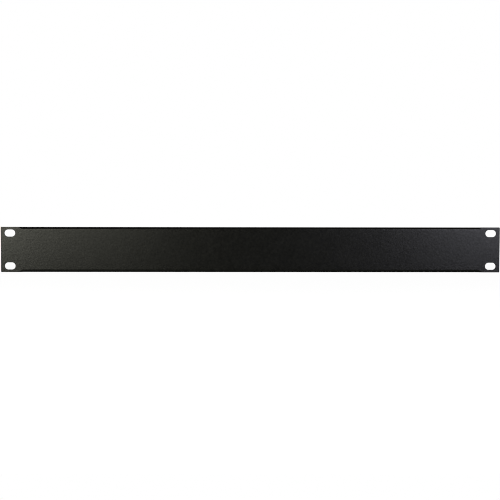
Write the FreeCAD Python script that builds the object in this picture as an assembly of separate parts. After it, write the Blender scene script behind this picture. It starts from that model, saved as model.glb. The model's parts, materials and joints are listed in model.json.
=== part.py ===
"""Rack blanking panel, one rack unit high: one sheet of steel that closes an empty space in a 19 inch rack.

The web is flat. Its long edges are folded back into two flanges, and a flat ear is left at each end, where
two slots take the rack screws. Lengths are in millimetres. The origin is the middle of the slot pattern on
the rear face, which seats on the rack's rails: +X is to the right as seen from the front, +Y into the rack
and +Z up.
"""

import FreeCAD
import Part

import math
import os

# Sheet and outline
PANEL_WIDTH = 482.6  # over both ears
PANEL_HEIGHT = 43.7  # one rack unit of 44.45, less the gap that lets panels stack
SHEET = 1.2  # thickness of the steel with its paint
EAR_WIDTH = 17.5  # the folded middle then passes between the rack's rails
EAR_CORNER_RADIUS = 0.8
EDGE_BREAK = 0.2  # bevel on the rims of the ears, the slots and the flanges

# Folded flanges, which end where the ears begin
FLANGE_DEPTH = 15.0  # from the front face to the flange's free edge
BEND_INNER_RADIUS = 1.4
FLANGE_CORNER_RADIUS = 3.0

# Slots for the rack screws, long along X and halfway across each ear
SLOT_LENGTH = 10.4
SLOT_HEIGHT = 6.8
SLOT_INSET_X = 8.75  # from the panel's end to the middle of a slot
SLOT_INSET_Z = 5.975  # from the panel's long edge to the middle of a slot

# Planes and radii that follow from these sizes
REAR_FACE = 0.0
FRONT_FACE = REAR_FACE - SHEET
FLANGE_EDGE = FRONT_FACE + FLANGE_DEPTH
BEND_OUTER_RADIUS = BEND_INNER_RADIUS + SHEET
HALF_HEIGHT = PANEL_HEIGHT / 2
HALF_WIDTH = PANEL_WIDTH / 2
FLANGE_END = HALF_WIDTH - EAR_WIDTH
SLOT_X = HALF_WIDTH - SLOT_INSET_X  # 232.55, so the slots stand 465.1 apart
SLOT_Z = HALF_HEIGHT - SLOT_INSET_Z  # 15.875, so the slots stand 31.75 apart
BEND_START = HALF_HEIGHT - BEND_OUTER_RADIUS  # height where the flat web turns into the bend
BEND_END = REAR_FACE + BEND_INNER_RADIUS  # depth where the bend turns into the flat flange

# Cutting tools go through the sheet from front to back, and run a little past it on each side
CUT_MARGIN = 1.0
CUT_FRONT = FRONT_FACE - CUT_MARGIN
CUT_DEPTH = SHEET + 2 * CUT_MARGIN

TINY = 1e-6
ALONG_Y = FreeCAD.Vector(0, 1, 0)
SIDES = (-1, 1)  # left and right ear
HEIGHTS = (-1, 1)  # lower and upper flange


def line(y1, z1, y2, z2):
    """A straight edge in the YZ plane."""
    return Part.LineSegment(FreeCAD.Vector(0, y1, z1), FreeCAD.Vector(0, y2, z2)).toShape()


def bend_arc(radius, up):
    """One surface of a bend in the YZ plane: a quarter circle from the web to the flange."""
    centre_z = up * BEND_START
    slant = radius * math.sqrt(0.5)
    at_web = FreeCAD.Vector(0, BEND_END - radius, centre_z)
    halfway = FreeCAD.Vector(0, BEND_END - slant, centre_z + up * slant)
    at_flange = FreeCAD.Vector(0, BEND_END, centre_z + up * radius)
    return Part.Arc(at_web, halfway, at_flange).toShape()


def web():
    """The flat web with a bend along each long edge, as one section drawn out between the ears."""
    edges = [line(face, -BEND_START, face, BEND_START) for face in (FRONT_FACE, REAR_FACE)]
    for up in HEIGHTS:
        edges += [
            bend_arc(BEND_OUTER_RADIUS, up),
            bend_arc(BEND_INNER_RADIUS, up),
            line(BEND_END, up * HALF_HEIGHT, BEND_END, up * (HALF_HEIGHT - SHEET)),
        ]
    section = Part.Face(Part.Wire(Part.__sortEdges__(edges)))
    section.translate(FreeCAD.Vector(-FLANGE_END, 0, 0))
    return section.extrude(FreeCAD.Vector(2 * FLANGE_END, 0, 0))


def length_along(edge, axis):
    """How far an edge runs along an axis, which is "x", "y" or "z"."""
    return getattr(edge.BoundBox, axis.upper() + "Length")


def place_along(edge, axis):
    """Where the middle of an edge is along an axis."""
    return getattr(edge.CenterOfMass, axis)


def finish_plate(plate, thickness_axis, reach_axis, root, tip, corner_radius, holes):
    """Rounds the two corners at a plate's tip, cuts its holes and bevels its rims, but none at its root."""
    corners = [
        edge
        for edge in plate.Edges
        if length_along(edge, thickness_axis) > TINY and abs(place_along(edge, reach_axis) - tip) < TINY
    ]
    plate = plate.makeFillet(corner_radius, corners)
    if holes:
        plate = plate.cut(holes)
    rims = [
        edge
        for edge in plate.Edges
        if length_along(edge, thickness_axis) < TINY and abs(place_along(edge, reach_axis) - root) > TINY
    ]
    return plate.makeChamfer(EDGE_BREAK, rims)


def flange(up):
    """The flat part of a flange, from its bend to its free edge."""
    low_z = HALF_HEIGHT - SHEET if up > 0 else -HALF_HEIGHT
    low = FreeCAD.Vector(-FLANGE_END, BEND_END, low_z)
    plate = Part.makeBox(2 * FLANGE_END, FLANGE_EDGE - BEND_END, SHEET, low)
    return finish_plate(plate, "z", "y", BEND_END, FLANGE_EDGE, FLANGE_CORNER_RADIUS, [])


def slot(side, up):
    """A cutting tool for one screw slot: round ends, long along X, right through the sheet."""
    x = side * SLOT_X
    z = up * SLOT_Z
    radius = SLOT_HEIGHT / 2
    reach = SLOT_LENGTH / 2 - radius  # from the slot's middle to the centre of a round end
    corner = FreeCAD.Vector(x - reach, CUT_FRONT, z - radius)
    middle = Part.makeBox(2 * reach, CUT_DEPTH, SLOT_HEIGHT, corner)
    centres = [FreeCAD.Vector(x + shift, CUT_FRONT, z) for shift in (-reach, reach)]
    ends = [Part.makeCylinder(radius, CUT_DEPTH, centre, ALONG_Y) for centre in centres]
    return middle.multiFuse(ends).removeSplitter()


def ear(side):
    """The flat end of the panel, as tall as the whole panel, which lies on the rack's rail."""
    low_x = FLANGE_END if side > 0 else -HALF_WIDTH
    low = FreeCAD.Vector(low_x, FRONT_FACE, -HALF_HEIGHT)
    plate = Part.makeBox(EAR_WIDTH, SHEET, PANEL_HEIGHT, low)
    slots = [slot(side, up) for up in HEIGHTS]
    return finish_plate(plate, "y", "x", side * FLANGE_END, side * HALF_WIDTH, EAR_CORNER_RADIUS, slots)


def panel():
    """The whole folded sheet, as one solid."""
    flanges = [flange(up) for up in HEIGHTS]
    ears = [ear(side) for side in SIDES]
    return web().multiFuse(flanges + ears).removeSplitter().Solids[0]


def main():
    os.makedirs("parts", exist_ok=True)
    sheet = panel()
    sheet.exportStep("parts/panel.step")
    print("panel: valid", sheet.isValid(), "solids", len(sheet.Solids), "volume mm3", round(sheet.Volume, 1))


main()
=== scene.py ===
"""A rack blanking panel one unit high: one folded sheet of steel with a black powder coat.

Lengths are in metres.
"""

import json
import math

import bmesh
import bpy
from mathutils import Euler, Matrix, Vector

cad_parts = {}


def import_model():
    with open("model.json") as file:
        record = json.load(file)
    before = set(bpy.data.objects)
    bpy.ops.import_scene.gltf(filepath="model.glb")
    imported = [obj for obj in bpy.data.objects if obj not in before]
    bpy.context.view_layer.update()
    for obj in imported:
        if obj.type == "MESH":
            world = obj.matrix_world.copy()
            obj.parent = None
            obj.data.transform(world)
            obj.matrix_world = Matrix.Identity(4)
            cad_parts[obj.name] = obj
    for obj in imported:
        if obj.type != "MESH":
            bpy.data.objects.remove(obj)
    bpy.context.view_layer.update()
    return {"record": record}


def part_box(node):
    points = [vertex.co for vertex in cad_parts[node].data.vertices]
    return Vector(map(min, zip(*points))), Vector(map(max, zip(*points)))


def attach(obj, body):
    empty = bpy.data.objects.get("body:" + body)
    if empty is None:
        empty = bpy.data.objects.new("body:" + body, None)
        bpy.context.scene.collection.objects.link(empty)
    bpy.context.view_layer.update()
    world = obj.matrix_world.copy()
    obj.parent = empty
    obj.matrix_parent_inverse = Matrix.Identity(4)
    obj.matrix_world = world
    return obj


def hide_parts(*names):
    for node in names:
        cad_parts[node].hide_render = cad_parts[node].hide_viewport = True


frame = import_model()

MM = 0.001

# Sheet and outline, as the frame gives them
LOW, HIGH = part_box("panel")
FRONT_FACE = LOW.y
FLANGE_EDGE = HIGH.y
HALF_WIDTH = HIGH.x
HALF_HEIGHT = HIGH.z
SHEET = 1.2 * MM
REAR_FACE = FRONT_FACE + SHEET
EAR_WIDTH = 17.5 * MM
EAR_END = HALF_WIDTH - EAR_WIDTH  # where the ear meets the folded middle

# Screw slots, as the frame's mount gives them
SLOT_DIMS = next(mount["dims"] for mount in frame["record"]["mounts"] if mount["name"] == "rack_slots")
SLOT_CENTRE = Vector((SLOT_DIMS["spacing_x_mm"] / 2 * MM, FRONT_FACE, SLOT_DIMS["spacing_y_mm"] / 2 * MM))
SLOT_RADIUS = SLOT_DIMS["hole_r_mm"] * MM
SLOT_REACH = SLOT_DIMS["slot_length_mm"] / 2 * MM - SLOT_RADIUS  # from the middle to an end's centre

# Folds
BEND_RADIUS = 2.6 * MM  # outside
INNER_RADIUS = BEND_RADIUS - SHEET
BEND_MARGIN = 0.3 * MM  # from the end of a bend to the next row of the mesh
WEB_EDGE = HALF_HEIGHT - BEND_RADIUS - BEND_MARGIN  # last row of the web below a bend
FLANGE_ROOT = FRONT_FACE + BEND_RADIUS + BEND_MARGIN  # first row of a flange behind its bend
RUN_OUT = 4.0 * MM  # length over which the end of a bend closes up towards the ear
EAR_RUN_OUT = 1.8 * MM  # and over which it fades into the ear's rounded rim

# Roundings of the cut edges
RIM_RADIUS = 0.2 * MM
TIGHT_BEND = 0.15 * MM  # inside radius at the very end of a bend
EAR_CORNER_RADIUS = 0.8 * MM
FLANGE_CORNER_RADIUS = 3.0 * MM
SHARP_ANGLE = math.radians(60)  # two faces that turn by more than this meet in an edge to round

# Steps of the mesh
SLOT_STEPS = 12  # in a quarter of a slot's end
ROUND_STEPS = 8  # in a bend, a rim or a corner
RUN_OUT_STEPS = 6
EAR_RUN_OUT_STEPS = 4
WEB_STEPS = 14  # from a run-out to the middle of the panel
FLANGE_STEPS = 3

# Powder coat. Each pattern has a scale and a detail.
COAT_DARK = (0.0, 0.0, 0.0, 1)
COAT_LIGHT = (0.0218, 0.0218, 0.0186, 1)
CLOUD = (60.0, 2.0)  # patches of roughness
CLOUD_ENDS = (0.3, 0.7)
ROUGHNESS = (0.28, 0.32)
PEEL = (460.0, 1.0)  # unevenness of the coat
PEEL_HEIGHT = 0.045 * MM
GRAIN = (1500.0, 2.0)
GRAIN_HEIGHT = 0.01 * MM

# Stage
FLOOR_MIDDLE = (0, 0.3, LOW.z - 0.1 * MM)  # just below the panel, so that no two faces share a plane
FLOOR_HALF_SIZE = (1.2, 0.8)
FLOOR_GREY = (0.5, 0.5, 0.5, 1)
FLOOR_GLOW = (0.93, 1.0)  # at the panel, and far from it. The dimmer glow near the panel is painted shade around it, and the real shadow shows within it
FLOOR_GLOW_ENDS = (0.3, 0.9)  # distances between which the glow rises
FLOOR_GLOW_SHAPE = (1, 2, 1)  # it rises twice as fast in front of the panel and behind it as beside it
FLOOR_MIRRORED = (0.015, 0.05)  # distances behind the panel over which reflections turn white
BACK_MIRRORED = (0.62, 0.87)  # the same for the room, as how much of a direction points back
SIDE_MIRRORED = (0.85, 0.97)  # and how much of it points sideways
ROOM_GREY = (0.02, 0.02, 0.02, 1)
WHITE = (1, 1, 1, 1)

# Lamps: azimuth and elevation in degrees, width, height, brightness, colour
LAMP_DISTANCE = 1.2
WARM = (1, 1, 0.85)
COOL = (0.88, 0.88, 1)
LAMPS = {
    "left_softbox": (-45.5, 7.6, 0.45, 0.34, 7.0, WARM),
    "left_fill": (-28, 7.6, 0.6, 0.34, 1.5, WARM),
    "right_softbox": (35.5, 12.5, 0.35, 0.5, 3.75, COOL),
    "right_fill": (27, 12.5, 0.6, 0.5, 0.44, COOL),
}

# Camera
LENS = 44.68
SENSOR_WIDTH = 36.0
NEAREST = 0.01
EYE_PLACE = (-6.0 * MM, FRONT_FACE - 600 * MM, 18.0 * MM)
EYE_TURN = (90 - 1.745, -0.072, -0.475)  # degrees about X, Y and Z

TINY = 1e-6


# ---------------------------------------------------------------- sheet metal


def verts_in(geom):
    return [item for item in geom if isinstance(item, bmesh.types.BMVert)]


def edges_in(geom):
    return [item for item in geom if isinstance(item, bmesh.types.BMEdge)]


def faces_in(geom):
    return [item for item in geom if isinstance(item, bmesh.types.BMFace)]


def middle_of(edge):
    return (edge.verts[0].co + edge.verts[1].co) / 2


def runs_lengthwise(edge):
    return abs(edge.verts[0].co.x - edge.verts[1].co.x) > TINY


def slot_rim(bm):
    """The rim of the upper right slot: a rectangle with its ends rounded to half circles."""
    size = Matrix.Diagonal((SLOT_REACH + SLOT_RADIUS, SLOT_RADIUS, 1.0, 1.0))
    place = Matrix.Translation(SLOT_CENTRE) @ Matrix.Rotation(math.pi / 2, 4, "X") @ size
    corners = bmesh.ops.create_grid(bm, x_segments=1, y_segments=1, size=1.0, matrix=place)["verts"]
    bmesh.ops.bevel(
        bm, geom=corners, offset=SLOT_RADIUS, offset_type="OFFSET", segments=SLOT_STEPS, profile=0.5,
        affect="VERTICES", material=-1,
    )
    bmesh.ops.remove_doubles(bm, verts=bm.verts[:], dist=TINY)
    bmesh.ops.delete(bm, geom=bm.faces[:], context="FACES_ONLY")
    return bm.edges[:]


def square_off(vert):
    """Moves a vertex from the slot's rim straight out to the outline of the ear's upper half."""
    away = vert.co - SLOT_CENTRE
    along = max(-SLOT_REACH, min(SLOT_REACH, away.x))
    round_x = away.x - along
    largest = max(abs(round_x), abs(away.z))
    right = round_x / largest
    up = away.z / largest
    room_x = HALF_WIDTH - SLOT_CENTRE.x if right > 0 else SLOT_CENTRE.x - EAR_END - EAR_RUN_OUT
    room_z = HALF_HEIGHT - SLOT_CENTRE.z if up > 0 else SLOT_CENTRE.z
    vert.co.x = SLOT_CENTRE.x + along + right * (room_x - SLOT_REACH)
    vert.co.z = SLOT_CENTRE.z + up * room_z


def sweep(bm, section, distance, steps):
    """Draws a section out towards the middle of the panel. Returns the section at the far end."""
    verts = list({vert for edge in section for vert in edge.verts})
    swept = bmesh.ops.spin(
        bm, geom=verts + section, cent=(0, 0, 0), axis=(1, 0, 0), dvec=(-distance / steps, 0, 0), angle=0,
        steps=steps, use_duplicate=False,
    )
    return edges_in(swept["geom_last"])


def front_quarter(bm):
    """The front face of the panel's upper right quarter, as flat as the blank that it is folded from."""
    outline = bmesh.ops.extrude_edge_only(bm, edges=slot_rim(bm))["geom"]
    for vert in verts_in(outline):
        square_off(vert)
    inner_x = EAR_END + EAR_RUN_OUT
    inner_side = [edge for edge in edges_in(outline) if all(abs(v.co.x - inner_x) < TINY for v in edge.verts)]
    rows = sorted({vert for edge in inner_side for vert in edge.verts}, key=lambda vert: vert.co.z)
    squeeze = (WEB_EDGE - SLOT_CENTRE.z) / (rows[-2].co.z - SLOT_CENTRE.z)
    for vert in rows[:-1]:
        if vert.co.z > SLOT_CENTRE.z:
            vert.co.z = SLOT_CENTRE.z + (vert.co.z - SLOT_CENTRE.z) * squeeze
    section = sweep(bm, inner_side, EAR_RUN_OUT, EAR_RUN_OUT_STEPS)
    section = sweep(bm, section, RUN_OUT, RUN_OUT_STEPS)
    sweep(bm, section, EAR_END - RUN_OUT, WEB_STEPS)


def flat_sheet(bm):
    """The whole front face, with the sheet's thickness behind it."""
    front_quarter(bm)
    for axis in ("X", "Z"):
        everything = bm.verts[:] + bm.edges[:] + bm.faces[:]
        bmesh.ops.mirror(bm, geom=everything, matrix=Matrix.Identity(4), merge_dist=TINY, axis=axis)
    bmesh.ops.remove_doubles(bm, verts=bm.verts[:], dist=TINY)
    bmesh.ops.recalc_face_normals(bm, faces=bm.faces[:])
    if bm.faces[:][0].normal.y > 0:
        bmesh.ops.reverse_faces(bm, faces=bm.faces[:])
    bmesh.ops.solidify(bm, geom=bm.faces[:], thickness=SHEET)


def add_flanges(bm):
    """Draws the flanges out of the rear face, along its upper and lower edge between the ears."""
    inside = HALF_HEIGHT - SHEET
    for vert in bm.verts:
        if abs(vert.co.y - REAR_FACE) < TINY and abs(abs(vert.co.z) - WEB_EDGE) < TINY:
            vert.co.z = math.copysign(inside, vert.co.z)
    ends = [
        face
        for face in bm.faces
        if face.normal.y > 0.5
        and abs(face.calc_center_median().z) > inside
        and abs(face.calc_center_median().x) < EAR_END
    ]
    depths = [FLANGE_ROOT - REAR_FACE] + [(FLANGE_EDGE - FLANGE_ROOT) / FLANGE_STEPS] * FLANGE_STEPS
    for depth in depths:
        grown = bmesh.ops.extrude_face_region(bm, geom=ends)["geom"]
        bmesh.ops.delete(bm, geom=ends, context="FACES")
        bmesh.ops.translate(bm, verts=verts_in(grown), vec=(0, depth, 0))
        ends = faces_in(grown)


def clear_flat_edges(bm):
    """Takes out the edges on flat faces that would be in the way of a bend or a rounded corner."""
    spare = []
    for edge in bm.edges:
        middle = middle_of(edge)
        past_ear = abs(middle.x) - EAR_END
        on_bend = abs(middle.y - REAR_FACE) < TINY and abs(abs(middle.z) - HALF_HEIGHT) < TINY
        near_corner = middle.y > FLANGE_ROOT + TINY and TINY - RUN_OUT < past_ear < -TINY
        if runs_lengthwise(edge):
            in_the_way = on_bend and past_ear < 0
        else:
            in_the_way = near_corner
        if in_the_way:
            spare.append(edge)
    bmesh.ops.dissolve_edges(bm, edges=spare, use_verts=True)


def bevel_edges(bm, edges, radius):
    bmesh.ops.bevel(
        bm, geom=edges, offset=radius, offset_type="OFFSET", segments=ROUND_STEPS, profile=0.5,
        affect="EDGES", clamp_overlap=False, material=-1,
    )


def sharp_edges(bm, convex):
    return [
        edge for edge in bm.edges if edge.calc_face_angle(0) > SHARP_ANGLE and edge.is_convex == convex
    ]


def round_corners(bm):
    """Rounds the outer corners of the ears and the free corners of the flanges."""
    through = [edge for edge in sharp_edges(bm, True) if abs(edge.calc_length() - SHEET) < TINY]
    ears = [edge for edge in through if abs(abs(middle_of(edge).x) - HALF_WIDTH) < TINY]
    flanges = [edge for edge in through if abs(middle_of(edge).y - FLANGE_EDGE) < TINY]
    bevel_edges(bm, ears, EAR_CORNER_RADIUS)
    bevel_edges(bm, flanges, FLANGE_CORNER_RADIUS)


def at_flange_root(edge):
    """Whether an edge lies where the end of a flange stands on the ear, which has no rim to round."""
    middle = middle_of(edge)
    return (
        abs(abs(middle.x) - EAR_END) < TINY
        and abs(middle.z) < HALF_HEIGHT - SHEET + TINY
        and middle.y < FLANGE_ROOT
    )


def round_rims(bm):
    """Rounds the inner corner of each bend, then its outer corner and the rims of the cut edges."""
    bevel_edges(bm, [edge for edge in sharp_edges(bm, False) if runs_lengthwise(edge)], TIGHT_BEND)
    bevel_edges(bm, [edge for edge in sharp_edges(bm, True) if not at_flange_root(edge)], RIM_RADIUS)


def closed_up(distance, start, end):
    """How far a bend has closed up at a distance past its ear's edge, from 0 at start to 1 at end."""
    t = max(0.0, min(1.0, (distance - start) / (end - start)))
    return t * t * (3 - 2 * t)


def open_bends(bm):
    """Widens the rounded corners between web and flange to their full radius, and less so near the ears."""
    for vert in bm.verts:
        up = math.copysign(1, vert.co.z)
        depth = vert.co.y - FRONT_FACE
        below = HALF_HEIGHT - abs(vert.co.z)
        past_ear = abs(vert.co.x) - EAR_END
        if depth < RIM_RADIUS + TINY and below < RIM_RADIUS + TINY:
            closed = closed_up(past_ear, -RUN_OUT, EAR_RUN_OUT)
            widen = (BEND_RADIUS + (RIM_RADIUS - BEND_RADIUS) * closed) / RIM_RADIUS
            vert.co.y = FRONT_FACE + depth * widen
            vert.co.z = up * (HALF_HEIGHT - below * widen)
        elif (
            -TINY < depth - SHEET < TIGHT_BEND + TINY and -TINY < below - SHEET < TIGHT_BEND + TINY
            and past_ear < TINY
        ):
            closed = closed_up(past_ear, -RUN_OUT, 0.0)
            widen = (INNER_RADIUS + (TIGHT_BEND - INNER_RADIUS) * closed) / TIGHT_BEND
            vert.co.y = REAR_FACE + (depth - SHEET) * widen
            vert.co.z = up * (HALF_HEIGHT - SHEET - (below - SHEET) * widen)


def add_object(name, data):
    made = bpy.data.objects.new(name, data)
    bpy.context.scene.collection.objects.link(made)
    return made


def add_piece(name, bm):
    """Makes an object of a finished shape."""
    mesh = bpy.data.meshes.new(name)
    bm.to_mesh(mesh)
    bm.free()
    return add_object(name, mesh)


def panel_piece():
    bm = bmesh.new()
    flat_sheet(bm)
    add_flanges(bm)
    clear_flat_edges(bm)
    round_corners(bm)
    round_rims(bm)
    open_bends(bm)
    for face in bm.faces:
        face.smooth = True
    piece = add_piece("blanking_panel", bm)
    shading = piece.modifiers.new("even_shading", "WEIGHTED_NORMAL")
    shading.mode = "FACE_AREA"
    shading.weight = 100
    shading.keep_sharp = True
    return piece


# ---------------------------------------------------------------- materials


def add_node(tree, kind, inputs=None, **settings):
    """Adds a node, with its settings and its inputs. An input is a value or another node's output."""
    node = tree.nodes.new(kind)
    for name, value in settings.items():
        setattr(node, name, value)
    for name, value in (inputs or {}).items():
        if isinstance(value, bpy.types.NodeSocket):
            tree.links.new(value, node.inputs[name])
        else:
            node.inputs[name].default_value = value
    return node


def add_math(tree, operation, *values):
    return add_node(tree, "ShaderNodeMath", dict(enumerate(values)), operation=operation).outputs["Value"]


def add_noise(tree, place, scale, detail):
    noise = add_node(tree, "ShaderNodeTexNoise", {"Vector": place, "Scale": scale, "Detail": detail})
    return noise.outputs["Fac"]


def add_ramp(tree, value, ends, results=(0.0, 1.0), **settings):
    """Turns a value between two ends into one between two results."""
    inputs = {"Value": value, "From Min": ends[0], "From Max": ends[1]}
    inputs.update({"To Min": results[0], "To Max": results[1]})
    return add_node(tree, "ShaderNodeMapRange", inputs, **settings).outputs["Result"]


def add_bump(tree, height, distance, **inputs):
    inputs.update({"Height": height, "Distance": distance, "Strength": 1.0})
    return add_node(tree, "ShaderNodeBump", inputs).outputs["Normal"]


def new_material(name):
    material = bpy.data.materials.new(name)
    material.use_nodes = True
    material.node_tree.nodes.clear()
    return material


def powder_coat():
    """Black powder coat: a fine grain over a faint unevenness, half matt."""
    material = new_material("powder_coat")
    tree = material.node_tree
    place = add_node(tree, "ShaderNodeTexCoord").outputs["Object"]
    peel = add_noise(tree, place, *PEEL)
    grain = add_noise(tree, place, *GRAIN)
    cloud = add_noise(tree, place, *CLOUD)
    shade = add_node(
        tree, "ShaderNodeMix", {"Factor": peel, "A": COAT_DARK, "B": COAT_LIGHT}, data_type="RGBA"
    )
    uneven = add_bump(tree, peel, PEEL_HEIGHT)
    coat = add_node(
        tree, "ShaderNodeBsdfPrincipled",
        {
            "Base Color": shade.outputs["Result"],
            "Roughness": add_ramp(tree, cloud, CLOUD_ENDS, ROUGHNESS),
            "Normal": add_bump(tree, grain, GRAIN_HEIGHT, Normal=uneven),
        },
    )
    add_node(tree, "ShaderNodeOutputMaterial", {"Surface": coat.outputs["BSDF"]})
    return material


# ---------------------------------------------------------------- stage, camera and light


def shown_white(tree, mirrored):
    """1 for rays from the camera, straight or through glass, and the given share for reflections."""
    path = add_node(tree, "ShaderNodeLightPath").outputs
    seen = add_math(tree, "MAXIMUM", path["Is Camera Ray"], path["Is Transmission Ray"])
    return add_math(tree, "MAXIMUM", seen, add_math(tree, "MULTIPLY", path["Is Glossy Ray"], mirrored))


def pale_floor():
    """White to the camera, with a light shadow near the panel: painted shade from a dimmer glow there, with
    the real shadow in it. A plain pale floor to the light.

    Reflections show the white too, but only behind the panel. In front of it, the floor lies in the dark.
    """
    material = new_material("pale_floor")
    tree = material.node_tree
    place = add_node(tree, "ShaderNodeTexCoord").outputs["Object"]
    backward = add_node(tree, "ShaderNodeSeparateXYZ", {"Vector": place}).outputs["Y"]
    share = shown_white(tree, add_ramp(tree, backward, FLOOR_MIRRORED))
    stretched = add_node(tree, "ShaderNodeVectorMath", {0: place, 1: FLOOR_GLOW_SHAPE}, operation="MULTIPLY")
    distance = add_node(tree, "ShaderNodeVectorMath", {0: stretched.outputs["Vector"]}, operation="LENGTH")
    # The glow is dimmer near the panel: painted shade around it, under its real shadow.
    glow = add_ramp(
        tree, distance.outputs["Value"], FLOOR_GLOW_ENDS, FLOOR_GLOW, interpolation_type="SMOOTHSTEP"
    )
    plain = add_node(tree, "ShaderNodeBsdfDiffuse", {"Color": FLOOR_GREY}).outputs["BSDF"]
    white = add_node(tree, "ShaderNodeEmission", {"Color": WHITE, "Strength": glow}).outputs["Emission"]
    both = add_node(tree, "ShaderNodeAddShader", {0: plain, 1: white}).outputs["Shader"]
    mix = add_node(tree, "ShaderNodeMixShader", {0: share, 1: plain, 2: both})
    add_node(tree, "ShaderNodeOutputMaterial", {"Surface": mix.outputs["Shader"]})
    return material


def floor():
    bm = bmesh.new()
    place = Matrix.Translation(FLOOR_MIDDLE) @ Matrix.Diagonal((*FLOOR_HALF_SIZE, 1, 1))
    bmesh.ops.create_grid(bm, x_segments=1, y_segments=1, size=1.0, matrix=place)
    piece = add_piece("floor", bm)
    piece.data.materials.append(pale_floor())


def world():
    """White to the camera and, for reflections, behind the panel and beside it. Dark in front and above."""
    scene_world = bpy.data.worlds.new("studio")
    bpy.context.scene.world = scene_world
    scene_world.use_nodes = True
    tree = scene_world.node_tree
    tree.nodes.clear()
    toward = add_node(tree, "ShaderNodeTexCoord").outputs["Generated"]
    along = add_node(tree, "ShaderNodeSeparateXYZ", {"Vector": toward}).outputs
    backdrop = add_ramp(tree, along["Y"], BACK_MIRRORED)
    sides = add_ramp(tree, add_math(tree, "ABSOLUTE", along["X"]), SIDE_MIRRORED)
    share = shown_white(tree, add_math(tree, "MAXIMUM", backdrop, sides))
    room = add_node(tree, "ShaderNodeBackground", {"Color": ROOM_GREY}).outputs["Background"]
    white = add_node(tree, "ShaderNodeBackground", {"Color": WHITE}).outputs["Background"]
    mix = add_node(tree, "ShaderNodeMixShader", {0: share, 1: room, 2: white})
    add_node(tree, "ShaderNodeOutputWorld", {"Surface": mix.outputs["Shader"]})


def softbox(name, azimuth, elevation, width, height, brightness, color):
    """A lamp that faces the panel. A brightness of 1 is that of a white surface in full light."""
    data = bpy.data.lights.new(name, "AREA")
    data.shape = "RECTANGLE"
    data.size = width
    data.size_y = height
    data.energy = brightness * math.pi * width * height
    data.color = color
    lamp = add_object(name, data)
    turn, rise = math.radians(azimuth), math.radians(elevation)
    out = Vector((math.sin(turn) * math.cos(rise), -math.cos(turn) * math.cos(rise), math.sin(rise)))
    lamp.location = out * LAMP_DISTANCE
    lamp.rotation_euler = out.to_track_quat("Z", "Y").to_euler()


def camera():
    data = bpy.data.cameras.new("camera")
    data.lens = LENS
    data.sensor_width = SENSOR_WIDTH
    data.clip_start = NEAREST
    eye = add_object("camera", data)
    eye.location = EYE_PLACE
    eye.rotation_euler = Euler([math.radians(turn) for turn in EYE_TURN], "XYZ")
    bpy.context.scene.camera = eye


panel = panel_piece()
panel.data.materials.append(powder_coat())
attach(panel, "root")
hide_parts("panel")
floor()
world()
for name, settings in LAMPS.items():
    softbox(name, *settings)
camera()
bpy.context.scene.view_settings.view_transform = "Standard"
bpy.context.scene.cycles.filter_width = 1.0
